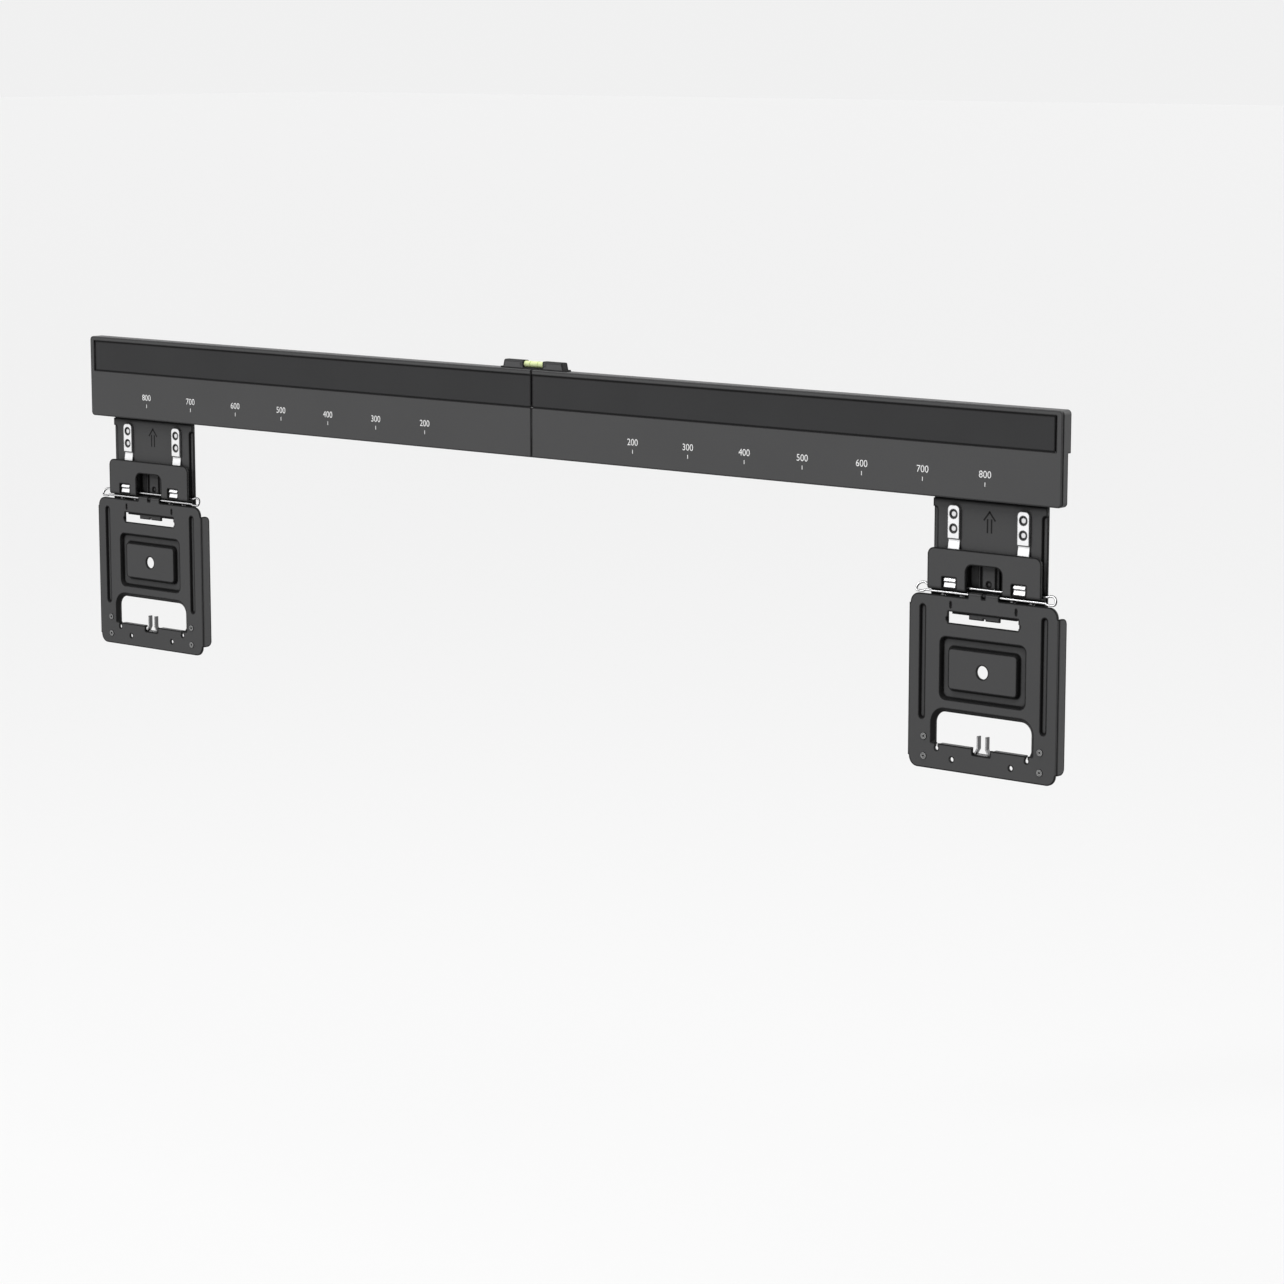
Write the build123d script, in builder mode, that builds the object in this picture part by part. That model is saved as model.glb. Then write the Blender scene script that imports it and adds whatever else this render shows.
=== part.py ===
"""Wall rail in two halves, with two hangers that slide along it and swing open to reach the cables."""
import os
from math import atan2, degrees, radians, tan
from build123d import *

os.makedirs("parts", exist_ok=True)

# Screen hole widths that the rail's scale runs to
widest_hole_width = 800.0

# Running and seating clearances
slide_clearance = 0.3
wall_clearance = 1.2
hang_clearance = 0.3
strip_clearance = 0.15
strip_end_gap = 1.2
seam_gap = 1.2
rivet_clearance = 0.05
screw_clearance = 0.1

# Rail lengths, from the seam between its halves
seam_x = 5.0
left_rail_length = 469.5
right_rail_length = 454.5

# Rail section
rail_sheet = 1.5
rail_height = 63.0
lip_depth = 7.0
back_flange_height = 28.0
upstand_height = 14.0
wall_line_drop = 16.0
rail_corner_radius = 3.0
rail_edge_radius = 0.8
end_seam_inset = 1.0
end_seam_width = 0.7

# Slots for the wall screws
wall_slot_reaches = (75.0, 225.0, 375.0)
wall_slot_length = 20.0
wall_slot_width = 6.5

# Dark strips set into the rail's face
strip_drop = 3.4
strip_height = 23.7
strip_end_margin = 4.5
strip_recess = 0.3
strip_wall = 1.2

# Plate and screws that join the rail halves
splice_length = 90.0
splice_height = 16.0
splice_sheet = 2.0
splice_screw_reaches = (14.0, 34.0)
splice_screw_radius = 1.9
splice_head_radius = 3.2
splice_head_height = 1.8

# Spirit level on top of the rail
level_base_length = 62.0
level_base_height = 1.2
level_length = 57.0
level_end_slope = 1.2
level_height = 6.3
level_depth = 6.0
level_window = 18.5
vial_radius = 2.3
vial_length = 24.0
vial_clearance = 0.1

# Carriage: the pressed neck that hooks into the rail
carriage_sheet = 1.5
neck_width = 90.0
hook_lip_length = 9.0
panel_rise = 1.3
panel_drop = 1.5
side_strip_width = 3.5
side_strip_drop = 7.1
side_strip_radius = 2.2
tongue_width = 16.8
tongue_margin = 1.0
tongue_pocket_depth = 2.0
tongue_dimple_radius = 1.9
tongue_dimple_rise = 4.4
tongue_rib_reach = 5.9
tongue_rib_width = 1.2
tongue_mark_depth = 0.7
land_margin = 2.5

# Hook plate: front face, floor and feet of one folded strip
hook_sheet = 1.5
hook_drop = 33.5
hook_width = 90.0
hook_height = 28.0
hook_radius = 5.0
hook_bend_radius = 2.0
foot_height = 9.0
arch_width = 28.8
arch_height = 17.0
arch_radius = 5.0
hook_window_width = 11.4
hook_window_height = 7.3
hook_rivet_reaches = (20.0, 35.0)
hook_rivet_radius = 1.6
hook_rivet_head_radius = 2.6
hook_rivet_head_height = 1.0
rivet_tail_height = 0.6
rivet_slope = 35.0

# Leaf springs riveted to the neck
leaf_sheet = 0.6
leaf_width = 9.5
leaf_reach = 27.6
leaf_drop = 4.9
leaf_radius = 3.0
fold_length = 22.5
fold_thickness = 1.2
fold_hole_radius = 3.0
leaf_flat = 1.5
leaf_clearance = 0.3
leaf_inset = 0.6
upper_bar_height = 2.5
bar_crease_height = 0.8
bar_crease_depth = 0.9
leaf_rivet_drop = 6.0
leaf_rivet_spacing = 9.65
leaf_rivet_radius = 1.5
leaf_rivet_head_radius = 2.5
leaf_rivet_head_height = 0.7

# Wire bail that carries the screen plate
bail_radius = 0.8
bail_length = 112.0
bail_seat_clearance = 0.2
bail_gap = 0.5
bail_eye_length = 7.5
bail_eye_swell = 0.9
bail_bend_radius = 1.6
bail_crown_radius = 4.2

# Screen plate
plate_sheet = 1.5
plate_gap = 1.3
plate_width = 116.6
plate_height = 117.3
plate_radius = 6.8
side_flange_depth = 8.6
side_flange_relief = 0.4
side_flange_radius = 4.2
side_bend_radius = 1.2
knuckle_sheet = 0.85
knuckle_clearance = 0.15
knuckle_width = 24.2
knuckle_groove_width = 2.8
knuckle_groove_depth = 0.5
knuckle_tail_drop = 4.1
tail_notch_width = 2.0
tail_notch_height = 1.2
pull_slot_drop = 10.3
pull_slot_width = 56.0
pull_slot_height = 7.6
slot_dimple_radius = 1.4
slot_dimple_depth = 0.9
slot_dimple_rise = 2.8
pull_flange_inset = 2.4
pull_flange_depth = 4.0
vent_slit_reach = 26.0
vent_slit_drop = 5.7
vent_slit_length = 4.0
vent_slit_width = 0.9
bead_reach = 48.4
bead_drop = 7.3
bead_length = 77.0
bead_width = 4.4
bead_depth = 1.5
pad_drop = 48.4
pad_width = 54.5
pad_height = 27.4
pad_radius = 2.5
moat_width = 68.0
moat_height = 42.0
moat_radius = 4.5
moat_depth = 2.8
press_slope = 20.0
screw_hole_radius = 4.5
window_drop = 78.1
window_width = 76.6
window_height = 21.7
window_radius = 8.0
window_rim_width = 2.5
window_rim_depth = 2.1
bar_flange_inset = 2.0
bar_flange_depth = 3.0
clip_notch_width = 14.4
clip_notch_depth = 4.3
relief_hole_reach = 36.0
relief_hole_drop = 3.2
relief_hole_radius = 1.5
relief_slit_width = 1.7
bar_hole_reach = 23.6
bar_hole_drop = 9.5
bar_hole_radius = 1.6
eyelet_reach = 46.4
eyelet_drops = (96.0, 109.4)
eyelet_shank_radius = 1.5
eyelet_bore_radius = 0.9
eyelet_flange_radius = 2.4
eyelet_flange_height = 0.5

# Spring clip on the screen plate's lower bar
clip_sheet = 1.2
clip_gap = 5.6
clip_height = 8.5
clip_inset = 0.7
clip_depth = 3.3
clip_flare = 2.2
clip_flare_height = 3.7
clip_base_width = 24.0
clip_base_height = 10.0
clip_foot_overlap = 0.6

# Heights, from the wall-screw line
rail_top = wall_line_drop
rail_bottom = rail_top - rail_height
flange_bottom = rail_top - back_flange_height
upstand_top = rail_bottom + upstand_height
strip_top = rail_top - strip_drop
strip_bottom = strip_top - strip_height
neck_top = upstand_top + hang_clearance + carriage_sheet
hook_top = rail_bottom - hook_drop
hook_bottom = hook_top - hook_height
foot_bottom = hook_bottom - foot_height
rear_strand_z = hook_bottom + hook_sheet + bail_seat_clearance + bail_radius
front_strand_z = hook_bottom - bail_gap - bail_radius
plate_top = front_strand_z - bail_radius - plate_gap
window_top = plate_top - window_drop
window_bottom = window_top - window_height
pull_slot_top = plate_top - pull_slot_drop
pull_slot_bottom = pull_slot_top - pull_slot_height
pull_flange_bottom = pull_slot_top - plate_sheet
pad_z = plate_top - pad_drop

# Depths, from the wall plane towards the room
lip_back = -(wall_clearance + carriage_sheet + slide_clearance)
rail_front = lip_back - lip_depth
rail_depth = -rail_front
neck_front = lip_back + slide_clearance
neck_back = neck_front + carriage_sheet
panel_front = neck_front - panel_rise
hook_inside = lip_back - rail_sheet - slide_clearance
knuckle_radius = bail_radius + knuckle_clearance + knuckle_sheet
front_strand_y = rail_front + knuckle_radius
rear_strand_y = (rail_front + hook_sheet + panel_front) / 2
plate_back = rail_front + plate_sheet
hook_back = rail_front + hook_sheet


def seen_from_front(x, y, z):
    """Plane at a point, facing the room, with its x along the rail and its y upwards."""
    return Plane(origin=(x, y, z), x_dir=(1, 0, 0), z_dir=(0, -1, 0))


def seen_from_wall(x, y, z):
    """Plane at a point, facing the wall, with its x along the rail and its y downwards."""
    return Plane(origin=(x, y, z), x_dir=(1, 0, 0), z_dir=(0, 1, 0))


def save(piece, name):
    """Label a finished piece and write its STEP file."""
    piece.part.label = name
    export_step(piece.part, f"parts/{name}.step")


def make_rail(name, direction, length):
    """One half of the rail: a folded channel, closed at its far end and open at the seam."""
    start = seam_x + direction * seam_gap / 2
    end = seam_x + direction * length
    run = abs(end - start)
    window_end = end - direction * strip_end_margin
    with BuildPart() as rail:
        with BuildSketch(seen_from_front((start + end) / 2, 0, (rail_top + rail_bottom) / 2)) as face:
            Rectangle(run, rail_height)
            far_corners = face.vertices().group_by(Axis.X, reverse=direction > 0)[0]
            fillet(far_corners, rail_corner_radius)
        extrude(amount=rail_depth)
        rim = rail.faces().sort_by(Axis.Y)[0].edges()
        outer_rim = rim.filter_by(lambda edge: abs(edge.center().X - start) > rail_edge_radius)
        fillet(outer_rim, rail_edge_radius)
        # The hanging lip stands off the wall
        with BuildSketch(Plane.YZ.offset(start)):
            with Locations((lip_back, flange_bottom)):
                Rectangle(-lip_back, flange_bottom - rail_bottom, align=(Align.MIN, Align.MAX))
        extrude(amount=direction * run, mode=Mode.SUBTRACT)
        # Inside of the channel, with the upstand that the carriages hang on
        with BuildSketch(Plane.YZ.offset(start)):
            with BuildLine():
                Polyline(
                    (-rail_sheet, rail_top - rail_sheet),
                    (-rail_sheet, flange_bottom),
                    (lip_back, flange_bottom),
                    (lip_back, upstand_top),
                    (lip_back - rail_sheet, upstand_top),
                    (lip_back - rail_sheet, rail_bottom + rail_sheet),
                    (rail_front + rail_sheet, rail_bottom + rail_sheet),
                    (rail_front + rail_sheet, rail_top - rail_sheet),
                    close=True,
                )
            make_face()
        extrude(amount=direction * (run - rail_sheet), mode=Mode.SUBTRACT)
        # Opening in the face for the cover strip
        with BuildSketch(seen_from_front((start + window_end) / 2, rail_front, strip_top)):
            Rectangle(abs(window_end - start), strip_height, align=(Align.CENTER, Align.MAX))
        extrude(amount=-rail_sheet, mode=Mode.SUBTRACT)
        # Seam where the end flange meets the face
        with BuildSketch(Plane.YZ.offset(end)):
            with Locations((rail_front + end_seam_inset, (rail_top + rail_bottom) / 2)):
                Rectangle(end_seam_width, rail_height, align=(Align.MIN, Align.CENTER))
        extrude(amount=-direction * rail_sheet / 2, mode=Mode.SUBTRACT)
        # Slots for the wall screws, and holes for the splice screws
        with BuildSketch(seen_from_front(0, 0, 0)):
            with Locations(*[(direction * reach, 0) for reach in wall_slot_reaches]):
                SlotOverall(wall_slot_length, wall_slot_width)
            with Locations(*[(seam_x + direction * reach, 0) for reach in splice_screw_reaches]):
                Circle(splice_screw_radius + screw_clearance)
        extrude(amount=rail_sheet, mode=Mode.SUBTRACT)
    save(rail, name)


def make_cover_strip(name, direction, length):
    """Channel-shaped strip that fills the opening in the rail's face and covers the wall screws."""
    start = seam_x + direction * seam_gap / 2
    end = seam_x + direction * (length - strip_end_margin - strip_end_gap)
    front = rail_front + strip_recess
    top = strip_top - strip_clearance
    bottom = strip_bottom + strip_clearance
    with BuildPart() as strip:
        with BuildSketch(Plane.YZ.offset(start)):
            with BuildLine():
                Polyline(
                    (-rail_sheet, top),
                    (front, top),
                    (front, bottom),
                    (-rail_sheet, bottom),
                    (-rail_sheet, bottom + strip_wall),
                    (front + strip_wall, bottom + strip_wall),
                    (front + strip_wall, top - strip_wall),
                    (-rail_sheet, top - strip_wall),
                    close=True,
                )
            make_face()
        extrude(amount=end - start)
    save(strip, name)


def make_splice():
    """Plate across the seam inside the rail, and the screws that hold it."""
    reaches = [side * reach for reach in splice_screw_reaches for side in (-1, 1)]
    seats = [(reach, 0) for reach in reaches]
    with BuildPart() as plate:
        with BuildSketch(seen_from_front(seam_x, -rail_sheet, 0)):
            Rectangle(splice_length, splice_height)
            with Locations(*seats):
                Circle(splice_screw_radius + screw_clearance, mode=Mode.SUBTRACT)
        extrude(amount=splice_sheet)
    save(plate, "splice_plate")
    with BuildPart() as screws:
        with BuildSketch(seen_from_front(seam_x, -rail_sheet - splice_sheet, 0)):
            with Locations(*seats):
                Circle(splice_head_radius)
        extrude(amount=splice_head_height, taper=20)
        with BuildSketch(seen_from_wall(seam_x, -rail_sheet - splice_sheet, 0)):
            with Locations(*seats):
                Circle(splice_screw_radius)
        extrude(amount=splice_sheet + rail_sheet)
    save(screws, "splice_screws")


def make_level():
    """Level housing that sits on the rail over the seam, and its vial."""
    middle_y = -rail_depth / 2
    vial_z = rail_top + level_base_height + vial_radius + vial_clearance
    half_base = level_base_length / 2
    half_foot = level_length / 2
    half_top = half_foot - level_end_slope
    with BuildPart() as holder:
        with BuildSketch(seen_from_front(seam_x, middle_y, rail_top)):
            with BuildLine():
                Polyline(
                    (-half_base, 0),
                    (half_base, 0),
                    (half_base, level_base_height),
                    (half_foot, level_base_height),
                    (half_top, level_height),
                    (-half_top, level_height),
                    (-half_foot, level_base_height),
                    (-half_base, level_base_height),
                    close=True,
                )
            make_face()
        extrude(amount=level_depth / 2, both=True)
        top_rim = holder.faces().sort_by(Axis.Z)[-1].edges().filter_by(Axis.X)
        fillet(top_rim, level_depth / 5)
        with BuildSketch(seen_from_front(seam_x, middle_y, rail_top + level_base_height)):
            Rectangle(level_window, level_height, align=(Align.CENTER, Align.MIN))
        extrude(amount=level_depth, both=True, mode=Mode.SUBTRACT)
        with BuildSketch(Plane.YZ.offset(seam_x)):
            with Locations((middle_y, vial_z)):
                Circle(vial_radius + vial_clearance)
        extrude(amount=vial_length / 2 + vial_clearance, both=True, mode=Mode.SUBTRACT)
    save(holder, "level_holder")
    with BuildPart() as vial:
        with BuildSketch(Plane.YZ.offset(seam_x)):
            with Locations((middle_y, vial_z)):
                Circle(vial_radius)
        extrude(amount=vial_length / 2, both=True)
    save(vial, "level_vial")


def make_carriage(name, x):
    """Pressed neck that hooks over the rail's upstand and carries the hook plate."""
    hook_front = hook_inside - carriage_sheet
    under_bridge = upstand_top + hang_clearance
    panel_top = rail_bottom - panel_drop
    panel_height = panel_top - foot_bottom
    pocket_width = neck_width - 2 * (side_strip_width + carriage_sheet)
    side_strip_top = rail_bottom - side_strip_drop
    side_strip_length = side_strip_top - foot_bottom
    seat_z = hook_bottom + hook_sheet
    arch_top = seat_z + arch_height
    land_width = arch_width + 2 * land_margin
    land_height = arch_top + 2 * land_margin - foot_bottom
    well_width = (land_width - tongue_width) / 2 - tongue_margin
    well_height = arch_top + tongue_margin - seat_z
    well_reach = (tongue_width + well_width) / 2
    with BuildPart() as carriage:
        # The neck with its hook as one folded strip
        with BuildSketch(Plane.YZ.offset(x)) as fold:
            with BuildLine():
                Polyline(
                    (neck_back, foot_bottom),
                    (neck_back, neck_top),
                    (hook_front, neck_top),
                    (hook_front, under_bridge - hook_lip_length),
                    (hook_inside, under_bridge - hook_lip_length),
                    (hook_inside, under_bridge),
                    (neck_front, under_bridge),
                    (neck_front, foot_bottom),
                    close=True,
                )
            make_face()
            fillet(fold.vertices().group_by(Axis.Y)[-1], carriage_sheet)
        extrude(amount=neck_width / 2, both=True)
        # Raised panel of the neck, with a sunk strip along each side, hollow behind
        with BuildSketch(seen_from_front(x, neck_front, panel_top)):
            Rectangle(neck_width, panel_height, align=(Align.CENTER, Align.MAX))
        extrude(amount=panel_rise)
        with BuildSketch(seen_from_front(x, neck_front, side_strip_top - side_strip_length / 2)):
            with Locations((-neck_width / 2, 0), (neck_width / 2, 0)):
                RectangleRounded(2 * side_strip_width, side_strip_length, side_strip_radius)
        extrude(amount=panel_rise, mode=Mode.SUBTRACT)
        with BuildSketch(seen_from_front(x, neck_back, panel_top - panel_height / 2)):
            RectangleRounded(pocket_width, panel_height - 2 * carriage_sheet, side_strip_radius)
            with Locations((0, -panel_height / 2)):
                Rectangle(land_width, land_height, align=(Align.CENTER, Align.MIN), mode=Mode.SUBTRACT)
        extrude(amount=panel_rise, mode=Mode.SUBTRACT)
        # Wells beside the tongue behind the arch, and the ribs and dimple pressed into it
        with BuildSketch(seen_from_front(x, panel_front, seat_z)):
            with Locations((-well_reach, 0), (well_reach, 0)):
                Rectangle(well_width, well_height, align=(Align.CENTER, Align.MIN))
        extrude(amount=-tongue_pocket_depth, mode=Mode.SUBTRACT)
        with BuildSketch(seen_from_front(x, panel_front, seat_z)):
            with Locations((-tongue_rib_reach, well_height / 2), (tongue_rib_reach, well_height / 2)):
                SlotOverall(well_height, tongue_rib_width, rotation=90)
            with Locations((0, tongue_dimple_rise)):
                Circle(tongue_dimple_radius)
        extrude(amount=-tongue_mark_depth, mode=Mode.SUBTRACT)
        # Rivet holes of the springs and the hook plate
        with BuildSketch(seen_from_front(x, neck_back, 0)):
            with Locations(*leaf_rivet_seats()):
                Circle(leaf_rivet_radius + rivet_clearance)
            with Locations(*hook_rivet_seats()):
                Circle(hook_rivet_radius + rivet_clearance)
        extrude(amount=neck_back - panel_front, mode=Mode.SUBTRACT)
    save(carriage, name)


def leaf_rivet_seats():
    """Places of the leaf springs' rivets, from the hanger's centre line and the wall-screw line."""
    first = rail_bottom - leaf_drop - leaf_rivet_drop
    return [(side * leaf_reach, first - row * leaf_rivet_spacing) for side in (-1, 1) for row in (0, 1)]


def hook_rivet_seats():
    """Places of the rivets in the hook plate's feet."""
    height = hook_bottom - foot_height / 2
    return [(side * reach, height) for side in (-1, 1) for reach in hook_rivet_reaches]


def make_leaf_rivets(name, x):
    """Domed rivets that hold the leaf springs to the carriage's panel."""
    seats = leaf_rivet_seats()
    seats_from_wall = [(seat_x, -seat_z) for seat_x, seat_z in seats]
    head_back = panel_front - leaf_sheet
    tail_front = panel_front + carriage_sheet
    with BuildPart() as rivets:
        with BuildSketch(seen_from_front(x, head_back, 0)):
            with Locations(*seats):
                Circle(leaf_rivet_head_radius)
        extrude(amount=leaf_rivet_head_height, taper=rivet_slope)
        with BuildSketch(seen_from_wall(x, head_back, 0)):
            with Locations(*seats_from_wall):
                Circle(leaf_rivet_radius)
        extrude(amount=tail_front - head_back)
        with BuildSketch(seen_from_wall(x, tail_front, 0)):
            with Locations(*seats_from_wall):
                Circle(leaf_rivet_head_radius)
        extrude(amount=rivet_tail_height)
    save(rivets, name)


def make_hook_rivets(name, x):
    """Domed rivets that hold the hook plate's feet to the carriage's panel."""
    seats = hook_rivet_seats()
    seats_from_wall = [(seat_x, -seat_z) for seat_x, seat_z in seats]
    head_back = panel_front - hook_sheet
    tail_front = panel_front + carriage_sheet
    with BuildPart() as rivets:
        with BuildSketch(seen_from_front(x, head_back, 0)):
            with Locations(*seats):
                Circle(hook_rivet_head_radius)
        extrude(amount=hook_rivet_head_height, taper=rivet_slope)
        with BuildSketch(seen_from_wall(x, head_back, 0)):
            with Locations(*seats_from_wall):
                Circle(hook_rivet_radius)
        extrude(amount=tail_front - head_back)
        with BuildSketch(seen_from_wall(x, tail_front, 0)):
            with Locations(*seats_from_wall):
                Circle(hook_rivet_head_radius)
        extrude(amount=rivet_tail_height)
    save(rivets, name)


def make_leaf_spring(name, x):
    """Sprung strip that keeps the bail in its hook: doubled at the top, with two bars at its tip."""
    leaf_top = rail_bottom - leaf_drop
    fold_bottom = leaf_top - fold_length
    fold_back = panel_front - leaf_sheet
    window_bottom_z = hook_bottom + hook_sheet
    tip_top = window_bottom_z + hook_window_height
    crease_z = tip_top - upper_bar_height
    behind_hook = hook_back + leaf_clearance + leaf_sheet
    bar_back = rail_front + leaf_inset + leaf_sheet
    with BuildPart() as leaf:
        # The strip, from the panel to the two bars in the hook plate's window
        with BuildSketch(Plane.YZ.offset(x)):
            with BuildLine():
                Polyline(
                    (panel_front, leaf_top),
                    (panel_front, fold_bottom - leaf_flat),
                    (behind_hook, tip_top),
                    (bar_back, crease_z),
                    (bar_back + bar_crease_depth, crease_z - bar_crease_height),
                    (bar_back, window_bottom_z + leaf_clearance),
                )
                offset(amount=leaf_sheet, side=Side.RIGHT, kind=Kind.INTERSECTION)
            make_face()
        extrude(amount=leaf_width / 2, both=True)
        # The part folded over in front, with holes for the rivet heads
        with BuildSketch(seen_from_front(x, fold_back, fold_bottom)):
            Rectangle(leaf_width, fold_length, align=(Align.CENTER, Align.MIN))
        extrude(amount=fold_thickness)
        fillet(leaf.edges().filter_by(Axis.Y).group_by(Axis.Z)[-1], leaf_radius)
        rivet_places = [(0, -leaf_rivet_drop), (0, -leaf_rivet_drop - leaf_rivet_spacing)]
        with BuildSketch(seen_from_front(x, fold_back, leaf_top)):
            with Locations(*rivet_places):
                Circle(fold_hole_radius)
        extrude(amount=fold_thickness, mode=Mode.SUBTRACT)
        with BuildSketch(seen_from_front(x, panel_front, leaf_top)):
            with Locations(*rivet_places):
                Circle(leaf_rivet_radius + rivet_clearance)
        extrude(amount=leaf_sheet, mode=Mode.SUBTRACT)
    save(leaf, name)


def make_hook_plate(name, x):
    """Folded strip that opens upwards, to hold the bail's rear strand."""
    foot_front = panel_front - hook_sheet
    with BuildPart() as hook:
        with BuildSketch(Plane.YZ.offset(x)):
            with BuildLine():
                Polyline(
                    (rail_front, hook_top),
                    (rail_front, hook_bottom),
                    (foot_front, hook_bottom),
                    (foot_front, foot_bottom),
                    (panel_front, foot_bottom),
                    (panel_front, hook_bottom + hook_sheet),
                    (hook_back, hook_bottom + hook_sheet),
                    (hook_back, hook_top),
                    close=True,
                )
            make_face()
        extrude(amount=hook_width / 2, both=True)
        fillet(hook.edges().filter_by(Axis.Y).group_by(Axis.Z)[-1], hook_radius)
        front_bend = hook.faces().sort_by(Axis.Y)[0].edges().filter_by(Axis.X).sort_by(Axis.Z)[0]
        fillet(front_bend, hook_bend_radius)
        # Arch in the middle, open at the bottom
        with BuildSketch(seen_from_front(x, rail_front, foot_bottom)) as arch:
            Rectangle(arch_width, foot_height + hook_sheet + arch_height, align=(Align.CENTER, Align.MIN))
            fillet(arch.vertices().group_by(Axis.Y)[-1], arch_radius)
        extrude(amount=-rail_depth, mode=Mode.SUBTRACT)
        # Windows for the leaf springs' tips
        with BuildSketch(seen_from_front(x, rail_front, hook_bottom + hook_sheet)):
            with Locations((-leaf_reach, 0), (leaf_reach, 0)):
                Rectangle(hook_window_width, hook_window_height, align=(Align.CENTER, Align.MIN))
        extrude(amount=-hook_sheet, mode=Mode.SUBTRACT)
        with BuildSketch(seen_from_front(x, panel_front, 0)):
            with Locations(*hook_rivet_seats()):
                Circle(hook_rivet_radius + rivet_clearance)
        extrude(amount=hook_sheet, mode=Mode.SUBTRACT)
    save(hook, name)


def make_bail(name, x):
    """Closed wire loop: its rear strand lies in the hook plate, its front strand in the knuckles."""
    rise = Vector(0, rear_strand_y - front_strand_y, rear_strand_z - front_strand_z)
    strand = rise.length / 2
    eye = strand + bail_eye_swell
    end = bail_length / 2 - bail_radius
    eye_start = end - bail_eye_length
    eye_full = eye_start + bail_bend_radius
    middle = (x, (rear_strand_y + front_strand_y) / 2, (rear_strand_z + front_strand_z) / 2)
    loop_plane = Plane(origin=middle, x_dir=(1, 0, 0), z_dir=Vector(1, 0, 0).cross(rise))
    lower_half = [(eye_start, -strand), (eye_full, -eye), (end, -eye)]
    upper_half = [(end, eye), (eye_full, eye), (eye_start, strand)]
    right_end = lower_half + upper_half
    left_end = [(-along, across) for along, across in reversed(right_end)]
    right_radii = [bail_crown_radius if corner == (end, eye) else bail_bend_radius for corner in right_end]
    with BuildPart() as bail:
        with BuildLine(loop_plane) as loop:
            FilletPolyline(*right_end, *left_end, radius=right_radii + right_radii[::-1], close=True)
        path = loop.wire()
        with BuildSketch(Plane(origin=path @ 0, z_dir=path % 0)):
            Circle(bail_radius)
        sweep(path=path)
    save(bail, name)


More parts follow.
